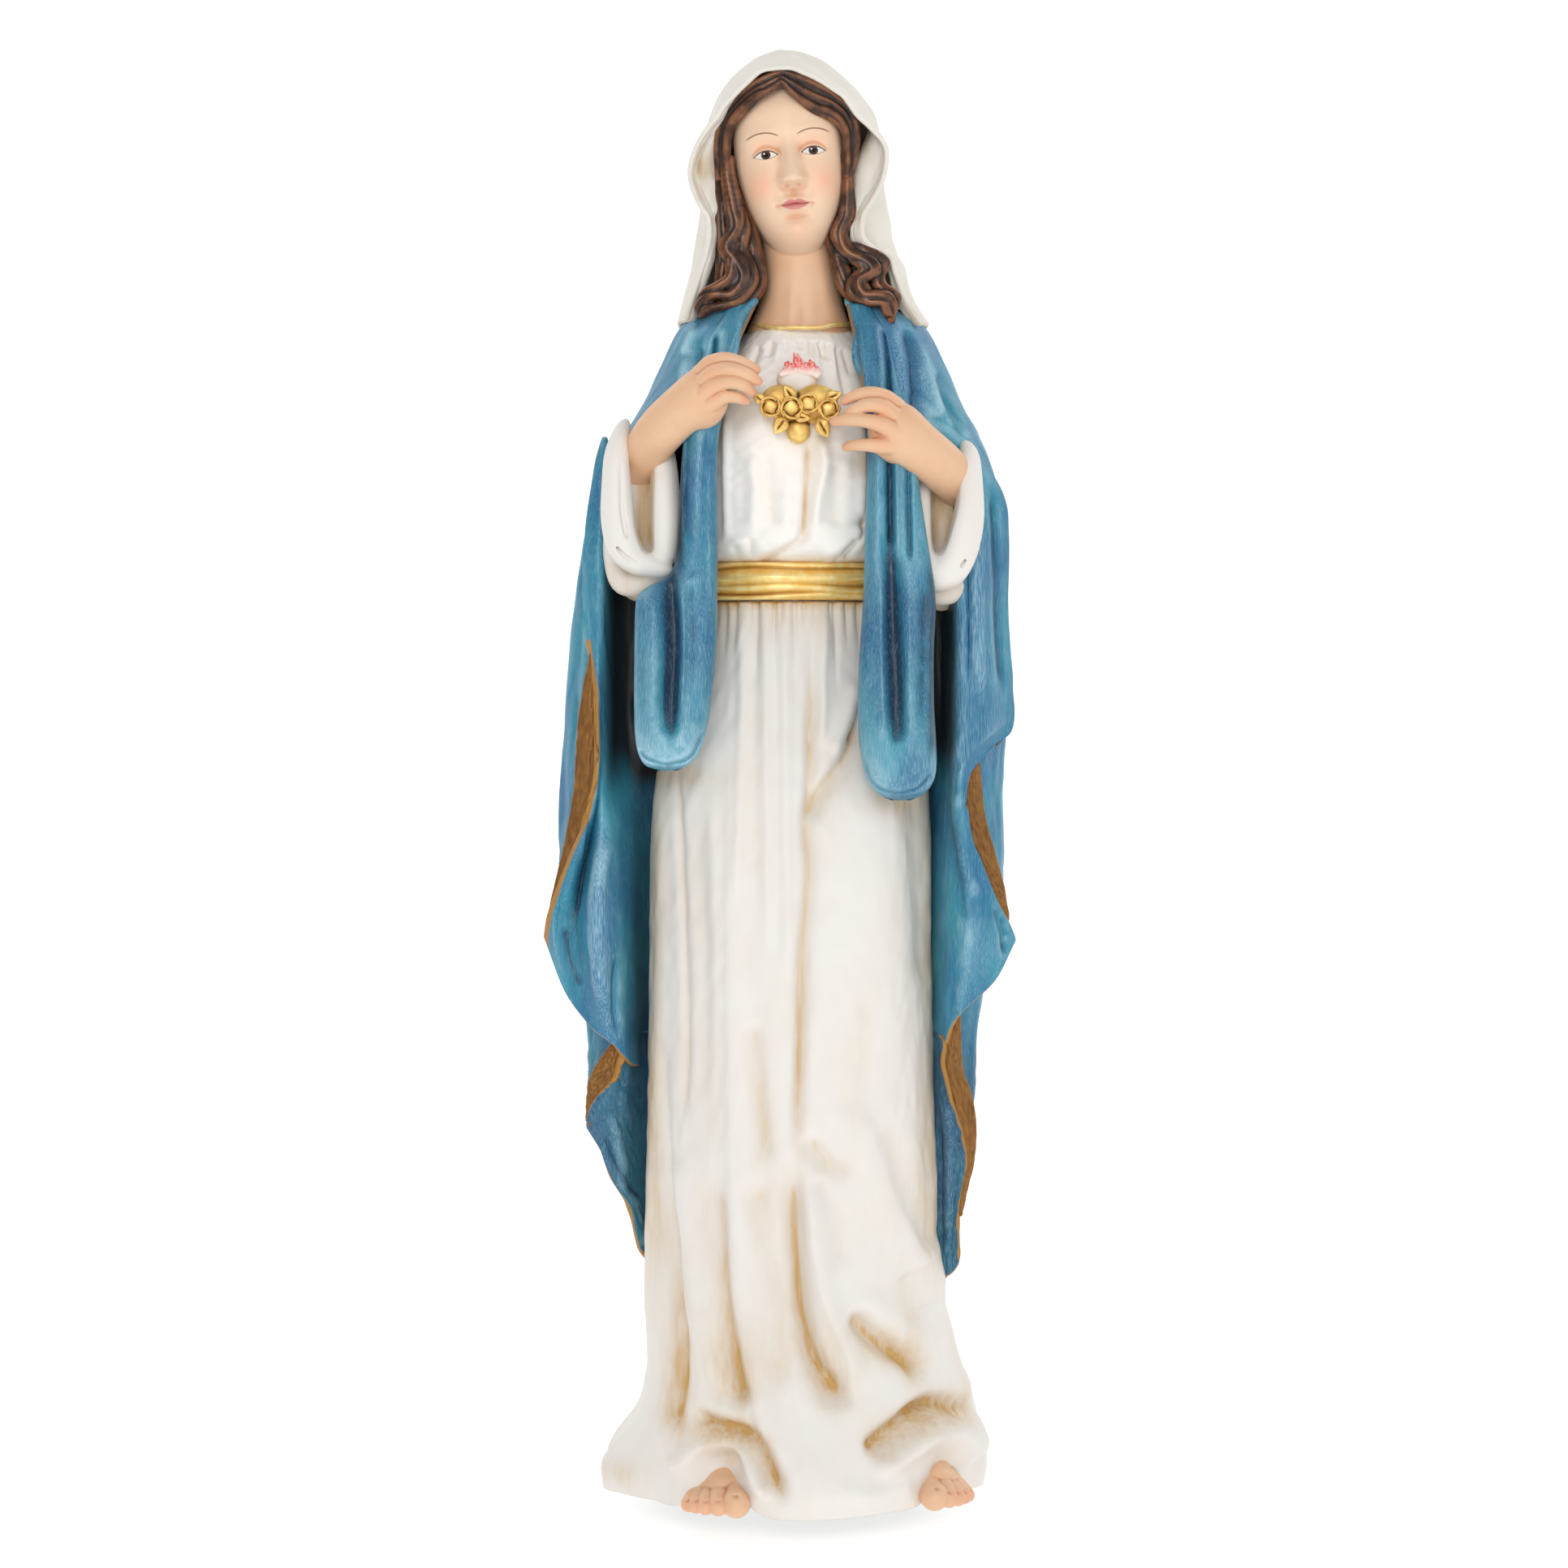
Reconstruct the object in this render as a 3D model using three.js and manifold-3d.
// A painted, hollow-cast devotional figure: a robed and veiled standing woman with her hands at a
// rose-wreathed heart.
// Millimetres, +Z up. The figure faces -Y and stands on z = 0. "right" and "left" are the figure's own,
// so its right side is at -X. Every garment, ornament and limb is its own closed solid.
import * as THREE from "three";
import { LoftGeometry } from "three/addons/geometries/LoftGeometry.js";
import { mergeVertices } from "three/addons/utils/BufferGeometryUtils.js";
import Module from "manifold-3d";

const wasm = await Module();
wasm.setup();

// ---- Driving dimensions -------------------------------------------------------------------------
const GAP = 0.35; // clearance between neighbouring pieces
const WALL = 5; // wall of the hollow robe casting
const FELT = 1.2; // thickness of the felt under the foot
const FELT_INSET = 12; // how far the felt keeps inside the hem
const PLATE = 3; // thickness of the plate that closes the cavity
const FOOT = 1.6; // height of the casting's lowest edge, just clear of the felt
const CLOTH = 2.4; // thickness of a free-hanging edge of cloth
const HEAD = { x: 1, y: -1, chin: 344, crown: 392.5, roll: -5 }; // roll in degrees, top towards -X
const NECK = { x: 5, y: -2, bottom: 316 };
const HEART = { x: 4, z: 298, width: 21, height: 15.5 };

// Body outlines as rows of [z, right edge (-X), left edge (+X), front depth, back depth].
const SKIRT = [
  [FOOT, -49, 56, 49, 38],
  [9, -49, 56.5, 49, 38],
  [20, -41, 53.6, 46, 36],
  [28, -38.4, 51.4, 44.5, 35],
  [36, -37.6, 48, 43, 34],
  [60, -37.5, 42.5, 40, 31],
  [100, -37.5, 41, 37.5, 30],
  [150, -37.5, 40.5, 36, 29],
  [190, -36.5, 40, 33, 28],
  [220, -31, 36, 27, 25],
  [240, -24, 29.5, 21.5, 21],
  [246.5, -22, 28, 20, 20],
];
const BODICE = [
  [258.2, -23, 29, 21.5, 20],
  [263, -27, 33, 25.5, 21],
  [285, -28, 35, 25.5, 22],
  [303, -25, 34, 23.5, 21],
  [312, -20, 30, 20, 18],
  [318, -14, 24.5, 18, 14],
  [320.5, -9.5, 20.5, 16, 12],
];
// The mantle's outside, with the angle from the front (degrees) where its right and left edges lie.
const MANTLE = [
  [50, -41, 48, 0, 41, 104, 96],
  [75, -49, 51.5, 0, 43, 100, 96],
  [100, -54.5, 54, 0, 43, 96, 92],
  [130, -56, 56.5, 0, 42, 96, 92],
  [160, -60, 59.5, 30, 41, 92, 90],
  [190, -62, 61, 30, 39, 86, 84],
  [215, -61, 62, 30, 37, 80, 78],
  [240, -59.5, 62, 31, 35, 70, 70],
  [265, -56.5, 61, 31, 33, 62, 62],
  [285, -49, 57.5, 31, 31, 56, 56],
  [298, -41.5, 51, 30, 29, 40, 36],
  [312, -34.5, 45, 27, 26, 26, 26],
  [323, -27, 38, 21, 21, 24, 26],
  [329, -16, 27, 17, 16, 24, 26],
];

// ---- Materials ----------------------------------------------------------------------------------
const paint = (color, roughness, metalness = 0) =>
  new THREE.MeshStandardMaterial({ color, roughness, metalness });
const IVORY = paint(0xf1ece2, 0.55);
const VEIL_WHITE = paint(0xe9e4d8, 0.55);
const BLUE = paint(0x2f7aa3, 0.45);
const LINING_GOLD = paint(0xa8742a, 0.45, 0.5);
const GOLD = paint(0xd9a63a, 0.32, 0.8);
const SKIN = paint(0xedc9a8, 0.5);
const HAIR = paint(0x4a2a1a, 0.45);
const FLAME = paint(0xee6a5c, 0.6);
const RESIN = paint(0xe8e2d6, 0.7);
const FELT_GREEN = paint(0x2f4a38, 0.95);

// ---- Numbers along a table ----------------------------------------------------------------------
// Catmull-Rom through table rows at a fractional row index.
function rowAt(rows, index) {
  const last = rows.length - 1;
  const i = Math.min(Math.max(Math.floor(index), 0), last - 1);
  const t = Math.min(Math.max(index - i, 0), 1);
  const [a, b, c, d] = [Math.max(i - 1, 0), i, i + 1, Math.min(i + 2, last)].map((k) => rows[k]);
  const blend = (p, q, r, s) =>
    0.5 * (2 * q + (r - p) * t + (2 * p - 5 * q + 4 * r - s) * t * t + (3 * q - p - 3 * r + s) * t ** 3);
  return b.map((_, k) => blend(a[k], b[k], c[k], d[k]));
}
const spread = (rows, count) =>
  Array.from({ length: count }, (_, k) => rowAt(rows, (k * (rows.length - 1)) / (count - 1)));

// ---- Sections and solids ------------------------------------------------------------------------
const rad = THREE.MathUtils.degToRad;
const vec = (x, y, z) => new THREE.Vector3(x, y, z);

// A point of a body outline at an angle from the front, positive towards the figure's left.
function bodyPoint([z, right, left, front, back], angle, shift = 0) {
  const [s, c] = [Math.sin(angle), Math.cos(angle)];
  return vec(s * ((s < 0 ? -right : left) + shift), -c * ((c > 0 ? front : back) + shift), z);
}

// Soft vertical flutes that deepen towards the hem: [angle in degrees, height, half-width in degrees].
const FLUTES = [
  [-62, 2.2, 12],
  [-38, 2.4, 9],
  [-18, 1.2, 8],
  [-4, 1.8, 7],
  [14, 2.6, 9],
  [34, 3.0, 12],
  [62, 2.4, 14],
  [110, 2.0, 14],
  [150, 2.2, 14],
  [190, 2.2, 14],
  [230, 2.0, 14],
];
const FOOT_NOTCH = [-22, -9, 10]; // the hem set back over the right foot
function bump(angle, [at, height, half]) {
  const degrees = THREE.MathUtils.radToDeg(angle);
  const away = ((((degrees - at + 180) % 360) + 360) % 360) - 180;
  return height * Math.exp(-((away / half) ** 2));
}
function flute(angle, z) {
  const deepening = 0.35 + 0.65 * THREE.MathUtils.smoothstep(246 - z, 0, 220);
  const overFoot = bump(angle, FOOT_NOTCH) * (1 - THREE.MathUtils.smoothstep(z, 10, 34));
  return FLUTES.reduce((sum, one) => sum + bump(angle, one) * deepening, overFoot);
}

const around = (row, count, shift = () => 0) =>
  Array.from({ length: count }, (_, k) => {
    const angle = (k / count) * 2 * Math.PI;
    return bodyPoint(row, angle, shift(angle, row[0]));
  });

// A closed loft as a manifold solid, turned to face outwards whichever way its sections wind.
function solidOf(geometry) {
  const bare = new THREE.BufferGeometry().setAttribute("position", geometry.attributes.position);
  const merged = mergeVertices(bare.setIndex(geometry.index), 1e-3);
  const corners = Array.from(merged.index.array);
  const triangles = [];
  for (let k = 0; k < corners.length; k += 3) {
    const [a, b, c] = corners.slice(k, k + 3);
    if (a !== b && b !== c && c !== a) triangles.push(a, b, c);
  }
  const mesh = (triVerts) =>
    new wasm.Manifold(
      new wasm.Mesh({
        numProp: 3,
        vertProperties: merged.attributes.position.array,
        triVerts: new Uint32Array(triVerts),
      }),
    );
  const made = mesh(triangles);
  return made.volume() > 0 ? made : mesh(triangles.reverse());
}
const loft = (sections) => solidOf(new LoftGeometry(sections, { capStart: true, capEnd: true }));

// The same solid with its surface moved out along the vertex normals.
function grown(solid, by = GAP * 1.4) {
  const geometry = geometryOf(solid);
  geometry.computeVertexNormals();
  const [p, n] = [geometry.attributes.position, geometry.attributes.normal];
  for (let k = 0; k < p.count; k++)
    p.setXYZ(k, p.getX(k) + n.getX(k) * by, p.getY(k) + n.getY(k) * by, p.getZ(k) + n.getZ(k) * by);
  return solidOf(geometry);
}

function geometryOf(solid) {
  const { vertProperties, triVerts, numProp, numVert } = solid.getMesh();
  const positions = new Float32Array(numVert * 3);
  for (let k = 0; k < numVert; k++)
    positions.set(vertProperties.subarray(k * numProp, k * numProp + 3), k * 3);
  return new THREE.BufferGeometry()
    .setAttribute("position", new THREE.BufferAttribute(positions, 3))
    .setIndex(new THREE.BufferAttribute(triVerts, 1));
}

// What is left of a piece once its neighbours have room, as its one largest body.
function clear(piece, ...neighbours) {
  const room = (neighbour) => grown(neighbour).add(neighbour);
  const rest = neighbours.reduce((solid, neighbour) => solid.subtract(room(neighbour)), piece);
  return rest.decompose().reduce((big, body) => (body.volume() > big.volume() ? body : big));
}

// A sheet of cloth skinned over rails, each a list of [x, y, z] from its start to its end.
function sheet(rails, across, along, thickness = CLOTH) {
  const lines = spread(
    rails.map((rail) => spread(rail, along).flat()),
    across,
  );
  const at = (i, j) => vec(...lines[i].slice(3 * j, 3 * j + 3));
  const clampTo = (k, count) => Math.min(Math.max(k, 0), count - 1);
  const backAt = (i, j) => {
    const du = at(clampTo(i + 1, across), j).sub(at(clampTo(i - 1, across), j));
    const dv = at(i, clampTo(j + 1, along)).sub(at(i, clampTo(j - 1, along)));
    return at(i, j).addScaledVector(du.cross(dv).normalize(), thickness);
  };
  const strip = (pointAt, j) => Array.from({ length: across }, (_, i) => pointAt(i, j));
  const hem = (j) => [...strip(at, j), ...strip(at, j).reverse()];
  const closed = (j) => [...strip(at, j), ...strip(backAt, j).reverse()];
  const sections = Array.from({ length: along }, (_, j) => closed(j));
  return solidOf(new LoftGeometry([hem(0), ...sections, hem(along - 1)]));
}

// A round limb along [x, y, z, radius] stations, flattened front to back by a share.
function limb(stations, along, sides = 10, flatten = 1) {
  const rows = spread(stations, along);
  const centre = (k) => vec(...rows[Math.min(Math.max(k, 0), along - 1)].slice(0, 3));
  return loft(
    rows.map((row, k) => {
      const ahead = centre(k + 1).sub(centre(k - 1)).normalize();
      const side = vec(0, 1, 0).cross(ahead).normalize();
      const out = ahead.clone().cross(side);
      return Array.from({ length: sides }, (_, i) => {
        const angle = (i / sides) * 2 * Math.PI;
        return centre(k)
          .addScaledVector(side, Math.cos(angle) * row[3])
          .addScaledVector(out, Math.sin(angle) * row[3] * flatten);
      });
    }),
  );
}

function ball(x, y, z, rx, ry = rx, rz = rx, detail = 12) {
  const sphere = new THREE.SphereGeometry(1, detail, Math.round(detail * 0.7));
  return solidOf(sphere.scale(rx, ry, rz).translate(x, y, z));
}
const union = (...solids) => solids.reduce((all, one) => all.add(one));

// ---- The hollow robe ----------------------------------------------------------------------------
const SKIRT_SIDES = 36;
const WAIST = [-20, 25.5, 18, 18]; // right, left, front and back of the stub inside the sash
const CAVITY_TOP = 228;
const PLATE_ROOM = 3; // the plate's clearance, since the cavity narrows upwards

function makeSkirt() {
  const outer = spread(SKIRT, 12).map((row) => around(row, SKIRT_SIDES, flute));
  const stub = [246.8, 257.2].map((z) => around([z, ...WAIST], SKIRT_SIDES));
  const cavityRows = SKIRT.filter((row) => row[0] < CAVITY_TOP);
  const inset = (angle, z) => bump(angle, FOOT_NOTCH) * (1 - THREE.MathUtils.smoothstep(z, 10, 34)) - WALL;
  const mouth = around([0, ...SKIRT[0].slice(1)], SKIRT_SIDES, inset);
  const cavity = spread(cavityRows, 5).map((row) => around(row, SKIRT_SIDES, inset));
  return loft([...outer, ...stub]).subtract(loft([mouth, ...cavity]));
}

const underside = (shift, low, high) =>
  loft(
    [low, high].map((z) =>
      around([z, ...SKIRT[0].slice(1)], SKIRT_SIDES, (angle) => shift + bump(angle, FOOT_NOTCH)),
    ),
  );

// A round sash of soft folds, as [z, how far it stands out], in a closed band about the waist stub.
const SASH_FOLDS = [
  [247.2, 3.2],
  [249.5, 4.4],
  [251.2, 3.8],
  [253.2, 4.8],
  [255, 4.0],
  [256.9, 3.0],
];
function makeBelt() {
  const ring = (z, shift) => around([z, ...WAIST], 28, () => shift);
  const band = loft(SASH_FOLDS.map(([z, shift]) => ring(z, shift)));
  return band.subtract(loft([ring(240, GAP), ring(262, GAP)]));
}

// The gilded cord round the neckline.
function makeTrim() {
  const cord = new THREE.TorusGeometry(13.6, 1.1, 7, 30);
  return solidOf(cord.scale(1, 1.04, 1).translate(NECK.x, NECK.y, 322.2));
}

// ---- The mantle ---------------------------------------------------------------------------------
function makeMantle() {
  const arcSteps = 17;
  return loft(
    spread(MANTLE, 12).map((row) => {
      const [z, right, left, front, back, rightEdge, leftEdge] = row;
      const arc = (shift) =>
        Array.from({ length: arcSteps }, (_, k) => {
          const angle = rad(leftEdge + ((360 - rightEdge - leftEdge) * k) / (arcSteps - 1));
          return bodyPoint([z, right, left, front, back], angle, shift);
        });
      return [...arc(0), ...arc(-CLOTH * 1.4).reverse()];
    }),
  );
}

// A looped front fall: two soft rolls with a crease between them, as
// [z, inner edge x, outer edge x, front y, back y, crease depth].
const FALL_RIGHT = [
  [199, -27, -22, -39, -31, 0],
  [201, -35, -18.5, -41, -28, 0.5],
  [208, -39, -17.5, -42, -27, 2],
  [222, -39.5, -17.5, -41, -26, 4],
  [245, -39, -17.5, -37, -24, 3.5],
  [262, -36, -17.5, -34, -24, 2.5],
  [290, -31, -17.5, -31, -22, 1],
  [305, -24, -13.5, -27, -18, 0.5],
  [318, -19, -10, -22, -14, 0],
  [327, -14, -8, -16, -9, 0],
];
const FALL_LEFT = [
  [192, 28, 34, -40, -30, 0],
  [194.5, 25, 39, -42, -28, 0.5],
  [203, 22.5, 42, -43, -26, 2],
  [222, 21.5, 43, -41, -25, 4],
  [245, 21.5, 42.5, -37, -23, 3.5],
  [262, 22, 40, -34, -24, 2.5],
  [290, 23, 35, -31, -22, 1],
  [305, 21, 33, -27, -18, 0.5],
  [318, 19, 28, -22, -14, 0],
  [327, 17.5, 23, -16, -9, 0],
];
function makeFall(rows) {
  const turns = Array.from({ length: 12 }, (_, k) => (k / 12) * 2 * Math.PI);
  return loft(
    spread(rows, 12).map(([z, low, high, front, back, crease]) =>
      turns.map((angle) => {
        const [s, c] = [Math.sin(angle), Math.cos(angle)];
        const x = (low + high) / 2 + ((high - low) / 2) * Math.sign(s) * Math.abs(s) ** 0.8;
        const middle = Math.exp(-((s / 0.3) ** 2));
        const y = (front + back) / 2 - ((back - front) / 2) * c + (c > 0 ? crease * middle : 0);
        return vec(x, y, z);
      }),
    ),
  );
}

// Side cascades: the mantle's free edge falling from the forearm in tiers. Rails run top to bottom,
// from the inner edge beside the robe to the outer edge.
const CASCADE_RIGHT_UPPER = [
  [[-37, -12, 268], [-37, -12, 235], [-36.5, -12, 200], [-37, -12, 160], [-37.5, -11, 120]],
  [[-44, -17, 270], [-44, -17, 235], [-43, -18, 200], [-44, -19, 160], [-43, -17, 117]],
  [[-50, -20, 272], [-48, -18, 235], [-49, -19, 200], [-53, -21, 160], [-49, -18, 123]],
  [[-49, -13, 282], [-54, -13, 250], [-55.5, -13, 205], [-61, -15, 160], [-56, -12, 131]],
  [[-50, -4, 287], [-56.5, -4, 250], [-60, -4, 200], [-65.5, -5, 155], [-63, -4, 143]],
];
const CASCADE_RIGHT_LOWER = [
  [[-37, -5, 125], [-37.5, -5, 100], [-37.5, -4, 80], [-37.5, -3, 58]],
  [[-43, -10, 120], [-43, -9, 102], [-42, -8, 82], [-39, -5, 62]],
  [[-49, -8, 116], [-50, -7, 103], [-46, -5, 84], [-41, -2, 67]],
  [[-54, 1, 112], [-55, 1, 98], [-50, 2, 85], [-44, 3, 72]],
];
const CASCADE_LEFT_UPPER = [
  [[41, -12, 268], [41.5, -12, 235], [41.5, -12, 200], [40.5, -12, 160], [41, -11, 122]],
  [[47, -18, 270], [47, -17, 235], [46, -17, 200], [46, -18, 160], [47, -16, 124]],
  [[53, -21, 272], [53, -19, 235], [50, -18, 200], [53, -20, 160], [53, -16, 130]],
  [[55, -14, 280], [59.5, -13, 245], [53, -12, 200], [60, -14, 160], [59, -11, 138]],
  [[57, -4, 287], [63, -4, 250], [56, -4, 200], [63.5, -5, 156], [63, -4, 148]],
];
const CASCADE_LEFT_LOWER = [
  [[41, -5, 128], [41, -5, 100], [42, -4, 80], [43.5, -2, 54]],
  [[45, -9, 126], [46, -9, 102], [46, -7, 82], [46, -3, 57]],
  [[48, -6, 124], [50, -6, 103], [49.5, -4, 84], [48.5, -1, 59]],
  [[50, 2, 122], [53, 1, 98], [51.5, 2, 85], [50.5, 3, 62]],
];
// Strips of the gilded lining that show between the mantle's back and its turned edges.
const LINING_RIGHT_UPPER = [
  [[-54.5, -9, 232], [-57, -9, 205], [-60, -8, 183], [-64, -7, 160]],
  [[-52, -13, 232], [-53, -14, 205], [-56, -13, 183], [-62, -10, 160]],
];
const LINING_LEFT_UPPER = [
  [[55, -12, 201], [55, -15, 185], [58, -14, 170], [62, -10, 156]],
  [[56, -8, 201], [58.5, -9, 185], [61.5, -8, 170], [63.5, -6, 156]],
];
const LINING_RIGHT_LOWER = [
  [[-53, -1, 118], [-54, -2, 110], [-54.5, -2, 103], [-55, -1, 97]],
  [[-47, -6, 120], [-49, -9, 110], [-52, -8, 103], [-54, -5, 97]],
];
const LINING_LEFT_LOWER = [
  [[47, -9, 123], [48.5, -10, 100], [50, -8, 84], [51, -5, 72]],
  [[52.5, -4, 127], [53, -4, 100], [53, -3, 84], [52.5, -2, 72]],
];

// ---- The veil -----------------------------------------------------------------------------------
// Rails run from the face edge, over the head, to the hem on the upper back, figure's right to left.
const VEIL = [
  [[-26, -10, 325], [-27, -6, 324.5], [-28, -2, 324], [-29, 2, 323], [-29, 6, 322], [-29, 10, 320]],
  [[-22, -13, 346], [-25, -6, 345], [-25, 2, 344], [-25, 10, 338], [-26, 16, 326], [-26, 20, 310]],
  [[-26, -13, 364], [-25, -7, 364], [-23, 2, 364], [-22, 12, 358], [-22, 20, 340], [-22, 26, 303]],
  [[-18, -14, 378], [-20, -6, 378], [-19, 4, 378], [-17, 16, 371], [-16, 25, 345], [-16, 30, 299]],
  [[-11, -15, 389], [-12, -6, 391.5], [-11, 4, 390.5], [-9, 18, 381], [-8, 28, 350], [-7, 33, 296]],
  [[0.5, -15, 395], [0.5, -6, 400], [0.5, 6, 398], [1.5, 20, 386], [2, 30, 352], [3, 34, 294]],
  [[12.5, -15, 390], [14, -6, 392], [13, 4, 391], [12, 18, 382], [12, 28, 350], [13, 33, 296]],
  [[20.5, -14, 380], [22.5, -6, 380], [21.5, 4, 379], [20, 16, 372], [20, 25, 345], [22, 30, 299]],
  [[28, -13, 367], [27, -7, 367], [26, 2, 366], [26, 12, 360], [28, 20, 340], [30, 26, 303]],
  [[26, -13, 348], [28, -6, 346], [29, 2, 344], [31, 10, 338], [34, 16, 326], [35, 19, 310]],
  [[37, -9, 325], [38, -6, 324.5], [38.5, -2, 324], [39, 2, 323], [39.5, 6, 322], [39.5, 9, 320]],
];

// ---- Head, hair and limbs -----------------------------------------------------------------------
function makeHead() {
  const height = HEAD.crown - HEAD.chin;
  const at = (share) => HEAD.chin + height * share;
  const upright = union(
    ball(HEAD.x, HEAD.y + 3, at(0.64), height * 0.325, height * 0.4, height * 0.355, 14),
    ball(HEAD.x, HEAD.y - 5, at(0.42), height * 0.29, height * 0.27, height * 0.36, 14),
    ball(HEAD.x, HEAD.y - 9, at(0.13), height * 0.15, height * 0.15, height * 0.13, 10),
    ball(HEAD.x, HEAD.y - 19.5, at(0.36), 2.4, 3.4, 2.6, 8),
    ball(HEAD.x, HEAD.y - 17.5, at(0.45), 1.6, 2.6, 5, 8),
  );
  const middle = [HEAD.x, HEAD.y, at(0.5)];
  const tilted = upright
    .translate(middle.map((v) => -v))
    .rotate([0, HEAD.roll, 0])
    .translate(middle);
  const neck = limb(
    [
      [NECK.x + 0.5, NECK.y + 1, NECK.bottom, 12],
      [NECK.x, NECK.y, 326, 11],
      [NECK.x - 1, NECK.y, 338, 9.8],
      [HEAD.x + 1, HEAD.y + 2, 356, 10],
    ],
    6,
    16,
  );
  return union(tilted, neck);
}

function makeHairCap(head) {
  const height = HEAD.crown - HEAD.chin;
  const middle = HEAD.chin + height * 0.62;
  const cap = ball(HEAD.x - 1, HEAD.y + 1.5, middle, height * 0.338, height * 0.4, height * 0.37, 14);
  const face = ball(HEAD.x, HEAD.y - 20, HEAD.chin + height * 0.42, height * 0.31, 16, height * 0.46, 12);
  const below = ball(HEAD.x, HEAD.y - 6, HEAD.chin, height * 0.55, 34, height * 0.42, 10);
  return clear(cap.subtract(face).subtract(below), head);
}

// Locks run from the temple to the shoulder as [x, y, z, radius].
const LOCK_RIGHT = [
  [-15, -9, 366, 2.2],
  [-17.5, -10, 356, 3],
  [-16, -11, 346, 4],
  [-13, -12, 338, 4.6],
  [-11.5, -13.5, 331, 4.8],
  [-14, -15.5, 326, 4],
  [-20, -16, 323.5, 3],
  [-23.5, -15, 322.5, 1.6],
];
const LOCK_LEFT = [
  [18, -9, 366, 2.2],
  [18.5, -10, 356, 2.6],
  [18.5, -11, 347, 3.2],
  [20, -12, 339, 4.2],
  [24, -13.5, 333, 4.4],
  [24, -15, 327.5, 4],
  [28, -16, 324, 3],
  [30.5, -15.5, 320, 1.6],
];

// Wide sleeves hanging from the forearm, as [x, y, z, radius].
const SLEEVE_RIGHT = [
  [-37, -13, 294, 6.5],
  [-38, -16, 285, 9.5],
  [-38, -18, 270, 10],
  [-39, -20, 257, 8],
  [-39.5, -20, 249.5, 5.5],
];
const SLEEVE_LEFT = [
  [46, -13, 290, 6.5],
  [45, -16, 281, 8.8],
  [43.5, -18, 266, 9.2],
  [43.5, -20, 253, 8],
  [44, -20, 246.5, 5.5],
];

// A forearm with its hand: the arm's stations, the palm, and fingers as [from, to] points.
const RIGHT_ARM = [
  [-41, -18, 285, 6.6],
  [-37, -26, 287, 6.4],
  [-31, -31, 291, 5.8],
  [-25, -33.5, 296.5, 5.4],
  [-21, -34, 299.5, 4.6],
];
const RIGHT_FINGERS = [
  [[-18, -34, 305, 2.4], [-12, -35, 308.5, 2.1], [-7, -33.5, 306.5, 1.5]],
  [[-17, -35, 303, 2.4], [-11, -36, 304.5, 2.1], [-5.5, -33.5, 303.3, 1.5]],
  [[-17, -35, 299.8, 2.3], [-11.5, -35.5, 300.8, 2.0], [-6.5, -33, 300.4, 1.4]],
  [[-18, -34, 295.5, 2.3], [-13, -33.5, 295.6, 2.0], [-8.2, -31.5, 297, 1.4]],
];
const LEFT_ARM = [
  [51, -18, 279, 6.8],
  [46.5, -26, 281.5, 6.5],
  [40.5, -31, 285, 5.9],
  [34.5, -33.5, 289, 5.6],
  [30, -34, 292, 4.8],
];
const LEFT_FINGERS = [
  [[28, -34, 298.5, 2.4], [22, -35, 300.5, 2.1], [16, -33, 299, 1.5]],
  [[27, -35, 295.3, 2.5], [21, -36, 296.6, 2.1], [14.6, -33.5, 295.7, 1.5]],
  [[27, -35, 291.8, 2.4], [21, -35.8, 292.3, 2.1], [13, -34, 293.4, 1.4]],
  [[28, -34, 287.6, 2.3], [22, -33.5, 287.2, 2.0], [15.5, -31.5, 288.8, 1.4]],
];
function makeHand(arm, palm, fingers) {
  const digits = fingers.map((stations) => {
    const [x, y, z, radius] = stations.at(-1);
    return limb(stations, 4, 6).add(ball(x, y, z, radius, radius, radius, 6));
  });
  return union(limb(arm, 5, 9, 0.85), ball(...palm, 9), ...digits);
}

function makeFoot(x, y, turn) {
  const toes = [0, 1, 2, 3, 4].map((k) => {
    const radius = 2.7 - 0.32 * k;
    const [along, aside] = [-6.5 + 0.55 * k * k * 0.45, -4.6 + 2.35 * k];
    return ball(turn * aside, along, FELT + radius + 0.2, radius, radius * 1.5, radius, 7);
  });
  const instep = ball(0, 2, FELT + 5.2, 6.6, 11, 5, 9);
  return union(instep, ...toes).translate([x, y, 0]);
}

// ---- Ornaments ----------------------------------------------------------------------------------
// A flat ornament extruded with a soft bevel, its face towards -Y.
function plaque(shape, thickness, bevel, x, y, z, spin = 0) {
  const geometry = new THREE.ExtrudeGeometry(shape, {
    depth: thickness,
    bevelThickness: bevel,
    bevelSize: bevel,
    bevelSegments: 1,
    curveSegments: 4,
  });
  return solidOf(geometry.rotateZ(rad(spin)).rotateX(Math.PI / 2).translate(x, y, z));
}

function heartShape(width, height) {
  const [w, h] = [width / 2, height];
  const shape = new THREE.Shape().moveTo(0, -h * 0.55);
  shape.bezierCurveTo(-w * 0.3, -h * 0.42, -w, -h * 0.1, -w, h * 0.16);
  shape.bezierCurveTo(-w, h * 0.5, -w * 0.25, h * 0.5, 0, h * 0.26);
  shape.bezierCurveTo(w * 0.25, h * 0.5, w, h * 0.5, w, h * 0.16);
  return shape.bezierCurveTo(w, -h * 0.1, w * 0.3, -h * 0.42, 0, -h * 0.55);
}

function leafShape(length, width) {
  const shape = new THREE.Shape().moveTo(0, 0);
  shape.quadraticCurveTo(width * 0.75, length * 0.35, 0, length);
  return shape.quadraticCurveTo(-width * 0.75, length * 0.35, 0, 0);
}

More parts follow.
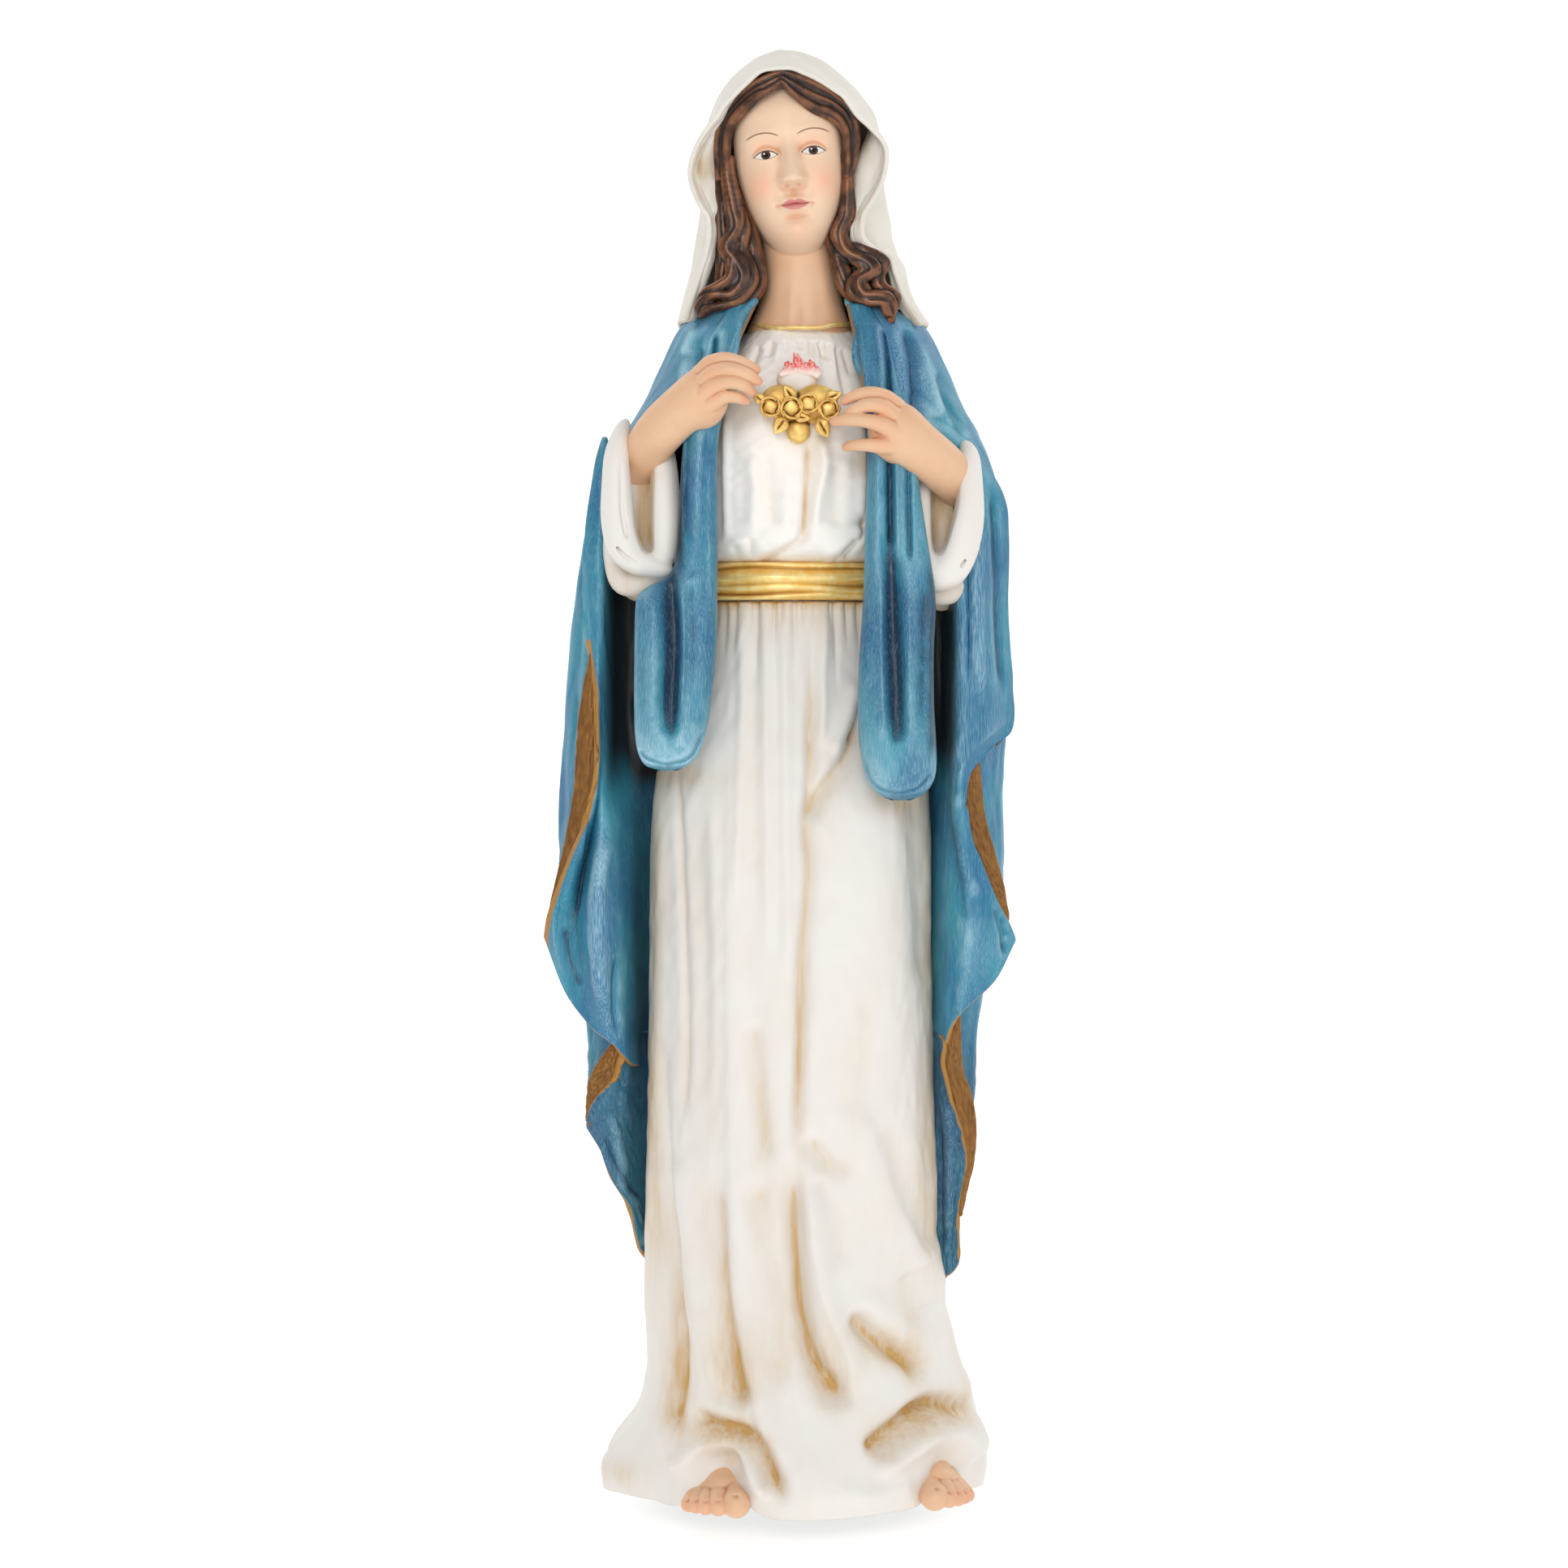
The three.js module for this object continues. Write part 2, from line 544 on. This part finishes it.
// The tips and roots of the flame's tongues, in shares of its half-width and height.
const TONGUES = [
  [-1, 0],
  [-0.85, 0.55],
  [-0.55, 0.4],
  [-0.1, 1],
  [0.15, 0.5],
  [0.6, 0.62],
  [1, 0],
];
function flameShape(width, height) {
  const [w, h] = [width / 2, height];
  return new THREE.Shape(TONGUES.map(([x, z]) => new THREE.Vector2(x * w, z * h)));
}

// A rose as a lathe: an open cup of petals around a bud. The profile is in shares of the radius.
const ROSE_PROFILE = [
  [0, 0],
  [0.8, 0],
  [1, 0.45],
  [0.82, 0.7],
  [0.62, 0.5],
  [0.5, 0.85],
  [0.3, 0.62],
  [0, 0.9],
];
function makeRose(x, y, z, radius) {
  const points = ROSE_PROFILE.map(([r, h]) => new THREE.Vector2(r * radius, h * radius));
  return solidOf(new THREE.LatheGeometry(points, 9).rotateX(Math.PI / 2).translate(x, y, z));
}

// ---- Assembly -----------------------------------------------------------------------------------
const figure = new THREE.Group();
function add(name, solid, material) {
  const mesh = new THREE.Mesh(geometryOf(solid), material);
  mesh.name = name;
  figure.add(mesh);
  return solid;
}

const skirtWhole = makeSkirt();
const head = makeHead();
const FEET = { right: [-17.5, -36], left: [44.5, -27.5] }; // middle of each foot's toes in plan
const footRight = makeFoot(...FEET.right, 1);
const footLeft = makeFoot(...FEET.left, -1);
// The arches that the hem makes over the toes.
const archRight = ball(-17.5, -42, 1, 9, 12, 12, 9);
const archLeft = ball(45, -37, 1, 8.5, 11, 11.5, 9);
const hemmed = skirtWhole.subtract(archRight).subtract(archLeft);
const skirt = add("gown_skirt", clear(hemmed, footRight, footLeft), IVORY);
add("foot_right", footRight, SKIN);
add("foot_left", footLeft, SKIN);
add("felt_pad", underside(-FELT_INSET, 0, FELT), FELT_GREEN);
add("closing_plate", clear(underside(-WALL - PLATE_ROOM, FOOT, FOOT + PLATE), footRight, footLeft), RESIN);

const belt = add("sash", makeBelt(), GOLD);
const bodice = clear(loft(spread(BODICE, 8).map((row) => around(row, 28))), head, skirt, belt);
add("gown_bodice", bodice, IVORY);
add("head_and_neck", head, SKIN);
const trim = clear(makeTrim(), head, bodice);
add("neckline_trim", trim, GOLD);

const hairCap = add("hair_crown", makeHairCap(head), HAIR);
const lockRight = add("hair_lock_right", clear(limb(LOCK_RIGHT, 10, 8), head, hairCap, bodice, trim), HAIR);
const lockLeft = add("hair_lock_left", clear(limb(LOCK_LEFT, 10, 8), head, hairCap, bodice, trim), HAIR);

const handRight = makeHand(RIGHT_ARM, [-20.5, -34, 300, 5.4, 4.2, 6], RIGHT_FINGERS);
const handLeft = makeHand(LEFT_ARM, [30, -34, 292.5, 5.6, 4.2, 6.4], LEFT_FINGERS);
add("hand_right", handRight, SKIN);
add("hand_left", handLeft, SKIN);

const chest = -26.2; // y of the flat back of the heart
const hands = [handRight, handLeft];
const heartPlaque = plaque(heartShape(HEART.width, HEART.height), 2.4, 1, HEART.x, chest, HEART.z);
const heart = add("heart", clear(heartPlaque, bodice, ...hands), GOLD);
// Roses as [x, z, radius] and leaves as [x, z, turn in degrees], in front of the heart.
const ROSES = [
  [-4.6, 298.4, 2.74],
  [1.2, 298, 2.9],
  [7, 299.2, 2.66],
  [12, 297.4, 2.57],
];
const LEAVES = [
  [-7, 300.5, 30],
  [1, 301.5, 15],
  [12.5, 300.5, -40],
  [-2.5, 294.6, 155],
  [3.2, 294.4, 195],
  [10.2, 294, 200],
];
const WREATH = 3.6; // how far in front of the chest line the wreath is laid
const roses = ROSES.map(([x, z, radius], k) =>
  add(`rose_${k + 1}`, clear(makeRose(x, chest - WREATH, z, radius), heart, ...hands), GOLD),
);
LEAVES.forEach(([x, z, spin], k) => {
  const leaf = plaque(leafShape(5.6, 4), 0.8, 0.35, x, chest - WREATH - 0.1, z, spin);
  add(`leaf_${k + 1}`, clear(leaf, heart, ...roses, ...hands), GOLD);
});
const puff = ball(HEART.x, chest + 1.2, 306.4, 5.2, 2.6, 3.4, 9);
const cloud = add("flame_cloud", clear(puff, bodice, heart, ...hands), IVORY);
const tongues = plaque(flameShape(8.6, 6.6), 1, 0.3, HEART.x, chest - 0.4, 308.6);
add("flame", clear(tongues, cloud, bodice), FLAME);

const sleeve = (stations, hand) => clear(limb(stations, 7, 12, 1.15), hand, skirt, bodice);
const sleeveRight = add("sleeve_right", sleeve(SLEEVE_RIGHT, handRight), IVORY);
const sleeveLeft = add("sleeve_left", sleeve(SLEEVE_LEFT, handLeft), IVORY);

const locks = [lockRight, lockLeft];
const inside = [skirt, belt, bodice, head, trim, ...locks, ...hands, sleeveRight, sleeveLeft];
const fallRight = add("front_fall_right", clear(makeFall(FALL_RIGHT), ...inside), BLUE);
const fallLeft = add("front_fall_left", clear(makeFall(FALL_LEFT), ...inside), BLUE);
const cascades = [
  ["cascade_right_upper", CASCADE_RIGHT_UPPER],
  ["cascade_right_lower", CASCADE_RIGHT_LOWER],
  ["cascade_left_upper", CASCADE_LEFT_UPPER],
  ["cascade_left_lower", CASCADE_LEFT_LOWER],
];
const settled = [...inside, fallRight, fallLeft];
for (const [name, rails] of cascades) {
  settled.push(add(name, clear(sheet(rails, 8, 8), ...settled), BLUE));
}
const linings = [
  ["lining_right_upper", LINING_RIGHT_UPPER],
  ["lining_right_lower", LINING_RIGHT_LOWER],
  ["lining_left_upper", LINING_LEFT_UPPER],
  ["lining_left_lower", LINING_LEFT_LOWER],
];
const LINING = 1.6; // thickness of the turned-out lining
for (const [name, rails] of linings) {
  settled.push(add(name, clear(sheet(rails, 3, 6, LINING), ...settled), LINING_GOLD));
}
const mantle = add("mantle_back", clear(makeMantle(), ...settled), BLUE);
const veil = sheet(VEIL, 19, 8, -CLOTH);
add("veil", clear(veil, hairCap, head, ...locks, mantle, fallRight, fallLeft), VEIL_WHITE);

export default figure;
